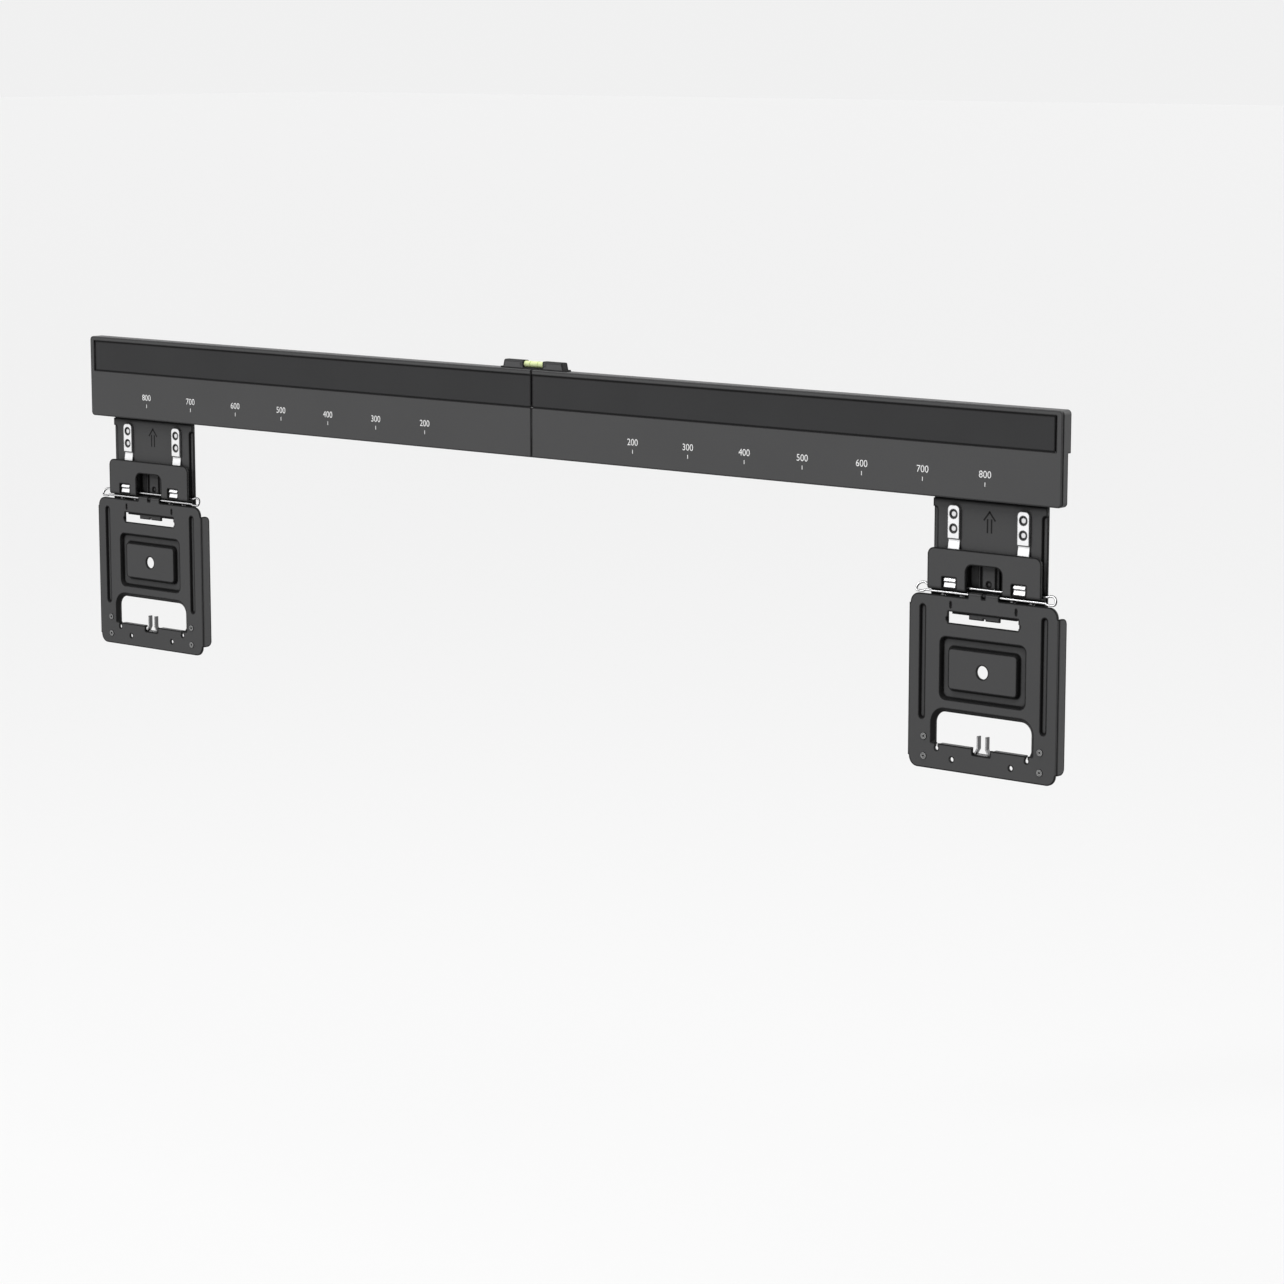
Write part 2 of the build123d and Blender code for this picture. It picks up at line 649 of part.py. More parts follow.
def make_screen_plate(name, x):
    """Pressed plate that the screen is screwed to, with knuckles curled round the bail."""
    slope_run = moat_depth * tan(radians(press_slope))
    bead_middle = plate_top - bead_drop - bead_length / 2
    beads = [(-bead_reach, bead_middle), (bead_reach, bead_middle)]
    window_corner_z = window_bottom - relief_hole_drop
    dimple_z = pull_slot_bottom + slot_dimple_rise
    flange_length = plate_height - 2 * (plate_radius + side_flange_relief)
    rim_back = plate_back + window_rim_depth
    rim_slope = degrees(atan2(window_rim_width, window_rim_depth))
    rim_width = window_width + 2 * window_rim_width
    rim_height = window_height + window_rim_width
    rim_back_height = rim_height + window_rim_width + plate_sheet / 2
    bar_width = 2 * (relief_hole_reach + relief_hole_radius)
    bar_flange_start = clip_notch_width / 2 + bar_flange_inset
    bar_flange_end = relief_hole_reach - bar_flange_inset
    bar_flange_middle = (bar_flange_start + bar_flange_end) / 2
    root_height = front_strand_z - plate_top + plate_sheet
    tail_top = front_strand_z - bail_radius
    tail_bottom = pull_slot_top - knuckle_tail_drop
    with BuildPart() as plate:
        with BuildSketch(seen_from_front(x, plate_back, plate_top - plate_height / 2)):
            RectangleRounded(plate_width, plate_height, plate_radius)
        extrude(amount=plate_sheet)
        # Flanges folded back along both sides, between the rounded corners
        for side in (-1, 1):
            with BuildSketch(Plane.YZ.offset(x + side * plate_width / 2)) as flange:
                with Locations((rail_front, plate_top - plate_height / 2)):
                    Rectangle(side_flange_depth, flange_length, align=(Align.MIN, Align.CENTER))
                fillet(flange.vertices().group_by(Axis.X)[-1], side_flange_radius)
            extrude(amount=side * plate_sheet)
        for end in (0, -1):
            outer_edges = plate.edges().filter_by(Axis.Z).group_by(Axis.X)[end]
            fillet(outer_edges.sort_by(Axis.Y)[0], side_bend_radius)
        # Dished rim round the top and sides of the lower window, clear of the bar below it
        with BuildSketch(seen_from_wall(x, plate_back, window_bottom - window_rim_width)) as rim:
            Rectangle(rim_width + plate_sheet, rim_back_height, align=(Align.CENTER, Align.MAX))
            fillet(rim.vertices().group_by(Axis.Y)[0], window_radius + window_rim_width)
        extrude(amount=window_rim_depth, taper=rim_slope)
        with BuildSketch(seen_from_wall(x, plate_back, window_bottom)):
            Rectangle(bar_width, window_rim_width, align=(Align.CENTER, Align.MIN))
        extrude(amount=window_rim_depth, mode=Mode.SUBTRACT)
        with BuildSketch(seen_from_wall(x, rail_front, window_bottom)) as dish:
            Rectangle(rim_width, rim_height, align=(Align.CENTER, Align.MAX))
            fillet(dish.vertices().group_by(Axis.Y)[0], window_radius + window_rim_width)
        extrude(amount=window_rim_depth, taper=rim_slope, mode=Mode.SUBTRACT)
        # Flanges folded back along the top of the lower bar, on both sides of the clip's notch
        with BuildSketch(seen_from_wall(x, plate_back, window_bottom)):
            with Locations((-bar_flange_middle, 0), (bar_flange_middle, 0)):
                Rectangle(bar_flange_end - bar_flange_start, plate_sheet, align=(Align.CENTER, Align.MIN))
        extrude(amount=bar_flange_depth)
        # Backs of the pressed moat and beads
        with BuildSketch(seen_from_wall(x, plate_back, pad_z)):
            RectangleRounded(moat_width + plate_sheet, moat_height + plate_sheet, moat_radius)
        extrude(amount=moat_depth, taper=press_slope)
        with BuildSketch(seen_from_wall(x, plate_back, 0)):
            with Locations(*[(bead_x, -bead_z) for bead_x, bead_z in beads]):
                SlotOverall(bead_length + plate_sheet, bead_width + plate_sheet, rotation=90)
        extrude(amount=bead_depth, taper=press_slope)
        # Fronts of the moat and beads, with the pad standing in the moat, hollow behind
        with BuildSketch(seen_from_wall(x, rail_front, pad_z)):
            RectangleRounded(moat_width, moat_height, moat_radius)
        extrude(amount=moat_depth, taper=press_slope, mode=Mode.SUBTRACT)
        with BuildSketch(seen_from_front(x, rail_front + moat_depth, pad_z)):
            RectangleRounded(pad_width + 2 * slope_run, pad_height + 2 * slope_run, pad_radius + slope_run)
        extrude(amount=moat_depth, taper=press_slope)
        with BuildSketch(seen_from_front(x, plate_back + moat_depth, pad_z)):
            RectangleRounded(pad_width - plate_sheet, pad_height - plate_sheet, pad_radius)
        extrude(amount=moat_depth, mode=Mode.SUBTRACT)
        with BuildSketch(seen_from_wall(x, rail_front, 0)):
            with Locations(*[(bead_x, -bead_z) for bead_x, bead_z in beads]):
                SlotOverall(bead_length, bead_width, rotation=90)
        extrude(amount=bead_depth, taper=press_slope, mode=Mode.SUBTRACT)
        # Flange folded back at the top of the pull slot
        with BuildSketch(Plane.YZ.offset(x)):
            with BuildLine():
                Polyline(
                    (plate_back, pull_slot_top + plate_sheet),
                    (plate_back, pull_flange_bottom),
                    (plate_back + pull_flange_depth, pull_flange_bottom),
                    (plate_back + pull_flange_depth, pull_slot_top),
                    (plate_back + plate_sheet, pull_slot_top),
                    (plate_back + plate_sheet, pull_slot_top + plate_sheet),
                    close=True,
                )
            make_face()
        extrude(amount=pull_slot_width / 2 - pull_flange_inset, both=True)
        # Dimples at the ends of the pull slot
        with BuildSketch(seen_from_wall(x, rail_front, dimple_z)):
            with Locations((-pull_slot_width / 2, 0), (pull_slot_width / 2, 0)):
                Circle(slot_dimple_radius)
        extrude(amount=slot_dimple_depth, mode=Mode.SUBTRACT)
        # Pull slot, small slits, screw hole, lower window and round holes
        with BuildSketch(seen_from_front(x, plate_back, 0)):
            with Locations((0, pull_slot_top)):
                Rectangle(pull_slot_width, pull_slot_height, align=(Align.CENTER, Align.MAX))
            with Locations(*[(side * vent_slit_reach, plate_top - vent_slit_drop) for side in (-1, 1)]):
                SlotOverall(vent_slit_length, vent_slit_width, rotation=90)
            with Locations(*[(side * relief_hole_reach, window_corner_z) for side in (-1, 1)]):
                Circle(relief_hole_radius)
            with Locations(*[(side * bar_hole_reach, window_bottom - bar_hole_drop) for side in (-1, 1)]):
                Circle(bar_hole_radius)
            with Locations(*eyelet_seats()):
                Circle(eyelet_shank_radius + rivet_clearance)
        extrude(amount=plate_sheet, mode=Mode.SUBTRACT)
        with BuildSketch(seen_from_front(x, plate_back, pad_z)):
            Circle(screw_hole_radius)
        extrude(amount=plate_sheet, mode=Mode.SUBTRACT)
        with BuildSketch(seen_from_front(x, rim_back, window_bottom)) as window:
            Rectangle(window_width, window_height, align=(Align.CENTER, Align.MIN))
            fillet(window.vertices().group_by(Axis.Y)[-1], window_radius)
            Rectangle(clip_notch_width, clip_notch_depth, align=(Align.CENTER, Align.MAX))
            with Locations((-relief_hole_reach, 0), (relief_hole_reach, 0)):
                Rectangle(relief_slit_width, relief_hole_drop, align=(Align.CENTER, Align.MAX))
        extrude(amount=plate_sheet + window_rim_depth, mode=Mode.SUBTRACT)
        # Knuckle curled back from the top edge, with a tail that shows in the pull slot
        with BuildSketch(Plane.YZ.offset(x)):
            with Locations((front_strand_y, front_strand_z)):
                Circle(knuckle_radius)
            with Locations((rail_front, front_strand_z)):
                Rectangle(plate_sheet, root_height, align=(Align.MIN, Align.MAX))
            with Locations((plate_back, tail_top)):
                Rectangle(plate_sheet, tail_top - tail_bottom, align=(Align.MIN, Align.MAX))
        extrude(amount=knuckle_width / 2, both=True)
        with BuildSketch(Plane.YZ.offset(x)):
            with Locations((front_strand_y, front_strand_z)):
                Circle(bail_radius + knuckle_clearance)
        extrude(amount=knuckle_width / 2, both=True, mode=Mode.SUBTRACT)
        # Groove round the middle of the knuckle, and the notch in its tail
        with BuildSketch(Plane.YZ.offset(x)):
            with Locations((front_strand_y, front_strand_z)):
                Circle(knuckle_radius + knuckle_groove_depth)
                Circle(knuckle_radius - knuckle_groove_depth, mode=Mode.SUBTRACT)
        extrude(amount=knuckle_groove_width / 2, both=True, mode=Mode.SUBTRACT)
        with BuildSketch(seen_from_wall(x, plate_back, tail_bottom)):
            Rectangle(tail_notch_width, tail_notch_height, align=(Align.CENTER, Align.MAX))
        extrude(amount=plate_sheet, mode=Mode.SUBTRACT)
    save(plate, name)


def eyelet_seats():
    """Places of the screen plate's corner eyelets."""
    return [(side * eyelet_reach, plate_top - drop) for side in (-1, 1) for drop in eyelet_drops]


def make_eyelets(name, x):
    """Hollow rivets at the lower corners of the screen plate, flanged on both faces."""
    seats = eyelet_seats()
    seats_from_wall = [(seat_x, -seat_z) for seat_x, seat_z in seats]
    with BuildPart() as eyelets:
        with BuildSketch(seen_from_front(x, rail_front, 0)):
            with Locations(*seats):
                Circle(eyelet_flange_radius)
        extrude(amount=eyelet_flange_height, taper=30)
        with BuildSketch(seen_from_wall(x, rail_front, 0)):
            with Locations(*seats_from_wall):
                Circle(eyelet_shank_radius)
        extrude(amount=plate_sheet)
        with BuildSketch(seen_from_wall(x, plate_back, 0)):
            with Locations(*seats_from_wall):
                Circle(eyelet_flange_radius)
        extrude(amount=eyelet_flange_height, taper=30)
        with BuildSketch(seen_from_front(x, plate_back + eyelet_flange_height, 0)):
            with Locations(*seats):
                Circle(eyelet_bore_radius)
        extrude(amount=plate_sheet + 2 * eyelet_flange_height, mode=Mode.SUBTRACT)
    save(eyelets, name)


def make_spring_clip(name, x):
    """Two sprung blades that flare at the bottom, on a base behind the screen plate's lower bar."""
    foot_z = window_bottom - clip_flare_height
    base_top = foot_z + clip_foot_overlap
    blade_front = rail_front + clip_inset
    with BuildPart() as clip:
        for side in (-1, 1):
            inner_x = side * clip_gap / 2
            outside = Side.LEFT if side > 0 else Side.RIGHT
            with BuildSketch(seen_from_front(x, blade_front, 0)):
                with BuildLine():
                    Polyline(
                        (inner_x, window_bottom + clip_height),
                        (inner_x, window_bottom),
                        (inner_x + side * clip_flare, foot_z),
                    )
                    offset(amount=clip_sheet, side=outside, kind=Kind.INTERSECTION)
                make_face()
            extrude(amount=-clip_depth)
        with BuildSketch(seen_from_wall(x, plate_back, base_top)):
            Rectangle(clip_base_width, clip_base_height, align=(Align.CENTER, Align.MIN))
        extrude(amount=clip_sheet)
    save(clip, name)


make_rail("left_rail", -1, left_rail_length)
make_rail("right_rail", 1, right_rail_length)
make_cover_strip("left_cover_strip", -1, left_rail_length)
make_cover_strip("right_cover_strip", 1, right_rail_length)
make_splice()
make_level()

for unit, unit_x in (("left", -widest_hole_width / 2), ("right", widest_hole_width / 2)):
    make_carriage(f"{unit}_carriage", unit_x)
    make_leaf_spring(f"{unit}_outer_leaf_spring", unit_x + leaf_reach * (1 if unit == "right" else -1))
    make_leaf_spring(f"{unit}_inner_leaf_spring", unit_x - leaf_reach * (1 if unit == "right" else -1))
    make_leaf_rivets(f"{unit}_leaf_rivets", unit_x)
    make_hook_plate(f"{unit}_hook_plate", unit_x)
    make_hook_rivets(f"{unit}_hook_rivets", unit_x)
    make_bail(f"{unit}_bail", unit_x)
    make_screen_plate(f"{unit}_screen_plate", unit_x)
    make_eyelets(f"{unit}_corner_eyelets", unit_x)
    make_spring_clip(f"{unit}_spring_clip", unit_x)
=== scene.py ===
"""Looks of a slim wall rail with two sliding, hinged hangers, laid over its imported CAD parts."""
import logging
import math
from dataclasses import dataclass, field
from enum import Enum
from typing import Iterable, Optional, Sequence, Union

import bmesh
import bpy
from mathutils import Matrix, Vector


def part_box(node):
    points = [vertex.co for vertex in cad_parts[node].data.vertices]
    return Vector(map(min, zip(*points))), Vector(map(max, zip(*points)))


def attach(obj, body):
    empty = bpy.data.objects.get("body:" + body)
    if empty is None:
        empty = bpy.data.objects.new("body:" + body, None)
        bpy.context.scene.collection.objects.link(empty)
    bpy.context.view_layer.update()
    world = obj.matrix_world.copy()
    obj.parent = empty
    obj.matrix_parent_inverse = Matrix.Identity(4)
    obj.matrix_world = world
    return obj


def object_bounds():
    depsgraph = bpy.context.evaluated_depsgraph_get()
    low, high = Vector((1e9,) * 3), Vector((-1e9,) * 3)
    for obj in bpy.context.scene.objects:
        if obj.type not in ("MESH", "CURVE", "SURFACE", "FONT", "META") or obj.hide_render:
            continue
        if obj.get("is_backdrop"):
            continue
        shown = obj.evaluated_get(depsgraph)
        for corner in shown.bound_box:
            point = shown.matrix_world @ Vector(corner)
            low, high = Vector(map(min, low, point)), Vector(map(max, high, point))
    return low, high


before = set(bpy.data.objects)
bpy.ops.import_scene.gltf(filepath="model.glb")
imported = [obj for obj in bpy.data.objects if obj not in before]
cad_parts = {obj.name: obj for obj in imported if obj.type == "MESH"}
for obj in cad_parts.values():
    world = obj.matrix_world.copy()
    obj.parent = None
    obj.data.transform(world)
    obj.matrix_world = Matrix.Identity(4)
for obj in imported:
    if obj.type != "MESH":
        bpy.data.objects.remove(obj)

LOG = logging.getLogger("wall_rail")
MM = 0.001
PHOTO_PIXELS = 1284

Number = Union[int, float]
Colour = tuple[float, float, float]
Point = tuple[float, float, float]
Stop = tuple[float, float]
Stops = tuple[Stop, ...]

ORIGIN: Point = (0.0, 0.0, 0.0)
EVEN: Point = (1.0, 1.0, 1.0)
BLACK: Colour = (0.0, 0.0, 0.0)
WHITE: Colour = (1.0, 1.0, 1.0)

# Octaves of noise in a soft drift and in a fine grain
SOFT = 2.0
FINE = 3.0

# Rays that look for edges and grooves at each point
SHADE_SAMPLES = 12

# Stops on how far the surface turns away near a point: an edge
EDGE: Stops = ((0.0005, 0.0), (0.01, 1.0))

# Stops on how squarely a surface faces the front: a rounded bend, a slope and a cut side
BEND: Stops = ((0.1, 0.0), (0.2, 1.0), (0.6, 1.0), (0.84, 0.0))
SLOPE: Stops = ((0.5, 1.0), (0.88, 0.0))
CUT_SIDE: Stops = ((0.05, 1.0), (0.2, 0.0))

# Stops on how open a point lies: deep in a groove, and a little below what surrounds it
GROOVE: Stops = ((0.5, 1.0), (0.8, 0.0))
SUNK: Stops = ((0.9, 1.0), (0.99, 0.0))

# Height of a figure as a share of its type size
FIGURE_SHARE = 0.72


class Side(Enum):
    """Left and right, with the sign of their place along the rail."""

    LEFT = -1
    RIGHT = 1

    @property
    def word(self) -> str:
        """Name of the side as the CAD nodes spell it."""
        return self.name.lower()


def scaled(colour: Colour, factor: float) -> Colour:
    """A colour made lighter or darker by a factor."""
    return tuple(channel * factor for channel in colour)


class Value:
    """A single-number socket of a shader, on which arithmetic adds Math nodes."""

    def __init__(self, nodes: "Nodes", socket: bpy.types.NodeSocket) -> None:
        """Hold a socket and the node tree it belongs to."""
        self.nodes = nodes
        self.socket = socket

    def _math(self, operation: str, *terms: Union["Value", Number], clamp: bool = False) -> "Value":
        """Add one Math node.

        Args:
            operation: Name of the Math operation.
            terms: Its operands, in order.
            clamp: Whether the result is held between 0 and 1.

        Returns:
            The node's result.
        """
        settings = {"operation": operation, "use_clamp": clamp}
        node = self.nodes.node("ShaderNodeMath", settings, dict(enumerate(terms)))
        return Value(self.nodes, node.outputs[0])

    def __add__(self, other: Union["Value", Number]) -> "Value":
        """Sum."""
        return self._math("ADD", self, other)

    def __radd__(self, other: Number) -> "Value":
        """Sum, with a number on the left."""
        return self._math("ADD", other, self)

    def __sub__(self, other: Union["Value", Number]) -> "Value":
        """Difference."""
        return self._math("SUBTRACT", self, other)

    def __rsub__(self, other: Number) -> "Value":
        """Difference, with a number on the left."""
        return self._math("SUBTRACT", other, self)

    def __mul__(self, other: Union["Value", Number]) -> "Value":
        """Product."""
        return self._math("MULTIPLY", self, other)

    def __rmul__(self, other: Number) -> "Value":
        """Product, with a number on the left."""
        return self._math("MULTIPLY", other, self)

    def clamped(self) -> "Value":
        """The value held between 0 and 1."""
        return self._math("ADD", self, 0.0, clamp=True)

    def blended(self, other: "Value", share: float) -> "Value":
        """A share of this value and the rest of another, held between 0 and 1."""
        return (share * self + (1.0 - share) * other).clamped()


class Nodes:
    """A node tree, emptied, with one way to add a node and feed its sockets."""

    def __init__(self, tree: bpy.types.NodeTree) -> None:
        """Take over the tree of a material or a world."""
        self.tree = tree
        self.tree.nodes.clear()

    def node(
        self,
        kind: str,
        settings: Optional[dict] = None,
        inputs: Optional[dict] = None,
    ) -> bpy.types.Node:
        """Add a node.

        Args:
            kind: Blender's type name of the node.
            settings: Attributes that are set first; "stops" holds a ramp's positions and greys.
            inputs: Socket name or number to a value, a Value or a socket to link.

        Returns:
            The new node.
        """
        node = self.tree.nodes.new(kind)
        for key, setting in (settings or {}).items():
            if key == "stops":
                self._set_stops(node.color_ramp, setting)
            else:
                setattr(node, key, setting)
        for key, source in (inputs or {}).items():
            self.feed(node.inputs[key], source)
        return node

    def feed(self, socket: bpy.types.NodeSocket, source: object) -> None:
        """Link a socket, or set it to a plain value.

        Args:
            socket: Socket that takes the source.
            source: A Value or another socket to link, or a plain value.
        """
        if isinstance(source, Value):
            source = source.socket
        if isinstance(source, bpy.types.NodeSocket):
            self.tree.links.new(source, socket)
        else:
            socket.default_value = source

    @staticmethod
    def _set_stops(ramp: bpy.types.ColorRamp, stops: Stops) -> None:
        """Give a ramp its stops.

        Args:
            ramp: Ramp that takes them.
            stops: Position and grey of each stop, in order.
        """
        while len(ramp.elements) < len(stops):
            ramp.elements.new(0.5)
        for element, (position, grey) in zip(ramp.elements, stops):
            element.position = position
            element.color = (grey, grey, grey, 1.0)


class Shader(Nodes):
    """A material's node tree, with its Principled shader and short ways to add nodes."""

    def __init__(self, name: str) -> None:
        """Start a material with one Principled shader.

        Args:
            name: Name of the material.
        """
        self.material = bpy.data.materials.new(name)
        self.material.use_nodes = True
        super().__init__(self.material.node_tree)
        self.surface = self.node("ShaderNodeBsdfPrincipled")
        self.node("ShaderNodeOutputMaterial", inputs={"Surface": self.surface.outputs[0]})

    def set(self, **sockets: object) -> None:
        """Set or link sockets of the Principled shader, with _ for the spaces in their names."""
        for key, source in sockets.items():
            self.feed(self.surface.inputs[key.replace("_", " ")], source)

    def noise(self, grain: float, detail: float, stretch: Point = EVEN) -> Value:
        """Noise over the piece's own points.

        Args:
            grain: Size of a patch, in metres.
            detail: Octaves of finer noise.
            stretch: Factor along each axis.

        Returns:
            The noise, from 0 to 1.
        """
        points = self.node("ShaderNodeTexCoord").outputs["Object"]
        mapping = self.node("ShaderNodeMapping", inputs={"Vector": points, "Scale": stretch})
        sockets = {"Vector": mapping.outputs[0], "Scale": 1.0 / grain, "Detail": detail}
        return Value(self, self.node("ShaderNodeTexNoise", inputs=sockets).outputs["Fac"])

    def ramp(self, value: Value, stops: Stops) -> Value:
        """Map a value through grey stops."""
        node = self.node("ShaderNodeValToRGB", {"stops": stops}, {"Fac": value})
        return Value(self, node.outputs["Color"])

    def edges(self, width: float) -> Value:
        """How near a point lies to a sharp edge, from 0 on a flat to 1 on the edge.

        Args:
            width: Reach of the edge, in metres.

        Returns:
            The mask.
        """
        rounded = self.node("ShaderNodeBevel", {"samples": SHADE_SAMPLES}, {"Radius": width}).outputs[0]
        flat = self.node("ShaderNodeNewGeometry").outputs["Normal"]
        facing = self.node("ShaderNodeVectorMath", {"operation": "DOT_PRODUCT"}, {0: rounded, 1: flat})
        return self.ramp(1.0 - Value(self, facing.outputs["Value"]), EDGE)

    def facing(self) -> Value:
        """How squarely a surface faces the front.

        Returns:
            1 on a front or back, 0 on a cut edge.
        """
        normal = self.node("ShaderNodeTexCoord").outputs["Normal"]
        across = Value(self, self.node("ShaderNodeSeparateXYZ", inputs={0: normal}).outputs["Y"])
        return across * across

    def openness(self, reach: float, neighbours: bool) -> Value:
        """How open a point lies, from 0 deep in a groove to 1 on a free surface.

        Args:
            reach: How far the sides of a groove count, in metres.
            neighbours: Whether other pieces count as well.

        Returns:
            The open share.
        """
        settings = {"samples": SHADE_SAMPLES, "only_local": not neighbours}
        occlusion = self.node("ShaderNodeAmbientOcclusion", settings, {"Distance": reach})
        return Value(self, occlusion.outputs["AO"])

    def mix(self, share: Value, first: object, second: object) -> bpy.types.NodeSocket:
        """Blend two colours.

        Args:
            share: Share of the second colour.
            first: Colour or socket.
            second: Colour or socket.

        Returns:
            The blended colour.
        """
        node = self.node("ShaderNodeMix", {"data_type": "RGBA"})
        for name, source in (("Factor", share), ("A", first), ("B", second)):
            socket = [entry for entry in node.inputs if entry.name == name and entry.enabled][0]
            self.feed(socket, (*source, 1.0) if isinstance(source, tuple) else source)
        return [entry for entry in node.outputs if entry.enabled][0]

    def mottled(self, share: Value, colour: Colour, dull: float, bright: float) -> bpy.types.NodeSocket:
        """A colour that varies from a dull to a bright shade of itself, by the share of the bright one."""
        return self.mix(share, scaled(colour, dull), scaled(colour, bright))

    def shaded(
        self,
        coat: bpy.types.NodeSocket,
        colour: Colour,
        *shades: tuple[Value, float],
    ) -> bpy.types.NodeSocket:
        """Lay painted shade and painted highlights, made from a colour, over a coat.

        Args:
            coat: The coat so far.
            colour: Colour that the shades are made from.
            shades: Mask and factor of each shade, in order.

        Returns:
            The shaded coat.
        """
        for mask, factor in shades:
            coat = self.mix(mask, coat, scaled(colour, factor))
        return coat

    def bump(self, height: Value, depth: float) -> None:
        """Feed a bump of some depth, in metres, to the shader's normal."""
        sockets = {"Height": height, "Strength": 1.0, "Distance": depth}
        self.set(Normal=self.node("ShaderNodeBump", inputs=sockets).outputs[0])


def shown_rays(nodes: Nodes) -> Value:
    """Tell rays that show a surface to the camera from those that only light it.

    Args:
        nodes: Tree that takes the nodes.

    Returns:
        1 for rays that show it, straight, mirrored or through glass, and 0 for the others.
    """
    path = nodes.node("ShaderNodeLightPath").outputs
    kinds = ("Camera", "Glossy", "Transmission")
    straight, mirrored, through = (Value(nodes, path[f"Is {kind} Ray"]) for kind in kinds)
    return (straight + mirrored + through).clamped()


@dataclass(frozen=True)
class PowderCoat:
    """Satin powder coat on sheet steel: fine orange peel, uneven sheen, with painted shade along edges and
    folds and in grooves.
    """

    name: str
    colour: Colour
    roughness: float = 0.42
    rough_drift: float = 0.16
    rough_edge: float = 0.1
    gloss: float = 0.12
    drift: float = 0.06
    drift_share: float = 0.5
    speckle: float = 0.00055
    dull: float = 0.9
    bright: float = 1.1
    peel: float = 0.0011
    peel_depth: float = 0.00003
    edge_width: float = 0.0024
    edge_dark: float = 0.15
    bend_dark: float = 1.0
    groove_reach: float = 0.007
    groove_dark: float = 0.1
    neighbours: bool = False

    def material(self) -> bpy.types.Material:
        """Build the finish.

        Returns:
            The material.
        """
        shader = Shader(self.name)
        drift = shader.noise(self.drift, SOFT)
        speckle = shader.noise(self.speckle, SOFT)
        peel = shader.noise(self.peel, SOFT)
        edge = shader.edges(self.edge_width)
        tint = drift.blended(speckle, self.drift_share)
        coat = shader.mottled(tint, self.colour, self.dull, self.bright)
        facing = shader.facing()
        openness = shader.openness(self.groove_reach, self.neighbours)
        sunk = shader.ramp(openness, SUNK)
        # Painted shade on rounded bends, along edges, deep in grooves and on sunk slopes, and near other
        # pieces when neighbours count
        coat = shader.shaded(
            coat,
            self.colour,
            (shader.ramp(facing, BEND), self.bend_dark),
            (edge, self.edge_dark),
            (shader.ramp(openness, GROOVE), self.groove_dark),
            (sunk * shader.ramp(facing, SLOPE), self.groove_dark),
        )
        roughness = self.roughness + self.rough_drift * drift + self.rough_edge * edge
        shader.set(Base_Color=coat, Roughness=roughness, Specular_IOR_Level=self.gloss)
        shader.bump(peel, self.peel_depth)
        return shader.material


@dataclass(frozen=True)
class MouldedPlastic:
    """Matt moulded plastic with a fine spark-eroded grain, with painted shade along its edges, on its bends
    and on its cut sides.
    """

    name: str
    colour: Colour
    roughness: float = 0.54
    rough_grain: float = 0.12
    rough_edge: float = 0.1
    gloss: float = 0.15
    drift: float = 0.04
    drift_share: float = 0.6
    dull: float = 0.85
    bright: float = 1.15
    grain: float = 0.0006
    grain_depth: float = 0.00004
    edge_width: float = 0.0018
    edge_dark: float = 0.12
    bend_dark: float = 0.15
    side_dark: float = 1.0

    def material(self) -> bpy.types.Material:
        """Build the finish.

        Returns:
            The material.
        """
        shader = Shader(self.name)
        drift = shader.noise(self.drift, SOFT)
        grain = shader.noise(self.grain, FINE)
        edge = shader.edges(self.edge_width)
        tint = drift.blended(grain, self.drift_share)
        coat = shader.mottled(tint, self.colour, self.dull, self.bright)
        facing = shader.facing()
        # Painted shade on rounded bends, on cut sides and along edges
        coat = shader.shaded(
            coat,
            self.colour,
            (shader.ramp(facing, BEND), self.bend_dark),
            (shader.ramp(facing, CUT_SIDE), self.side_dark),
            (edge, self.edge_dark),
        )
        roughness = self.roughness + self.rough_grain * grain + self.rough_edge * edge
        shader.set(Base_Color=coat, Roughness=roughness, Specular_IOR_Level=self.gloss)
        shader.bump(grain, self.grain_depth)
        return shader.material


@dataclass(frozen=True)
class BrightSteel:
    """Plated or spring steel with fine drawn lines along one axis, with painted shade in its corners, along
    its edges and on its sides.
    """

    name: str
    colour: Colour
    roughness: float = 0.23
    rough_lines: float = 0.12
    rough_cloud: float = 0.08
    lines: Point = (1.0, 1.0, 0.04)
    line_width: float = 0.00025
    line_depth: float = 0.000008
    line_share: float = 0.55
    cloud: float = 0.004
    dull: float = 0.88
    bright: float = 1.05
    side_shade: float = 0.3
    side_turn: Stops = ((0.35, 1.0), (0.8, 0.0))
    edge_width: float = 0.001
    edge_shade: float = 0.12
    groove_reach: float = 0.0025
    groove_shade: float = 0.06
    neighbours: bool = False

    def material(self) -> bpy.types.Material:
        """Build the finish.

        Returns:
            The material.
        """
        shader = Shader(self.name)
        lines = shader.noise(self.line_width, FINE, self.lines)
        cloud = shader.noise(self.cloud, FINE)
        tint = lines.blended(cloud, self.line_share)
        metal = shader.mottled(tint, self.colour, self.dull, self.bright)
        openness = shader.openness(self.groove_reach, self.neighbours)
        # Painted shade along edges, on sides that turn from the front and in grooves; an edge factor above 1
        # paints a highlight instead
        metal = shader.shaded(
            metal,
            self.colour,
            (shader.edges(self.edge_width), self.edge_shade),
            (shader.ramp(shader.facing(), self.side_turn), self.side_shade),
            (shader.ramp(openness, GROOVE), self.groove_shade),
        )
        roughness = self.roughness + self.rough_lines * lines + self.rough_cloud * cloud
        shader.set(Base_Color=metal, Metallic=1.0, Roughness=roughness)
        shader.bump(lines, self.line_depth)
        return shader.material


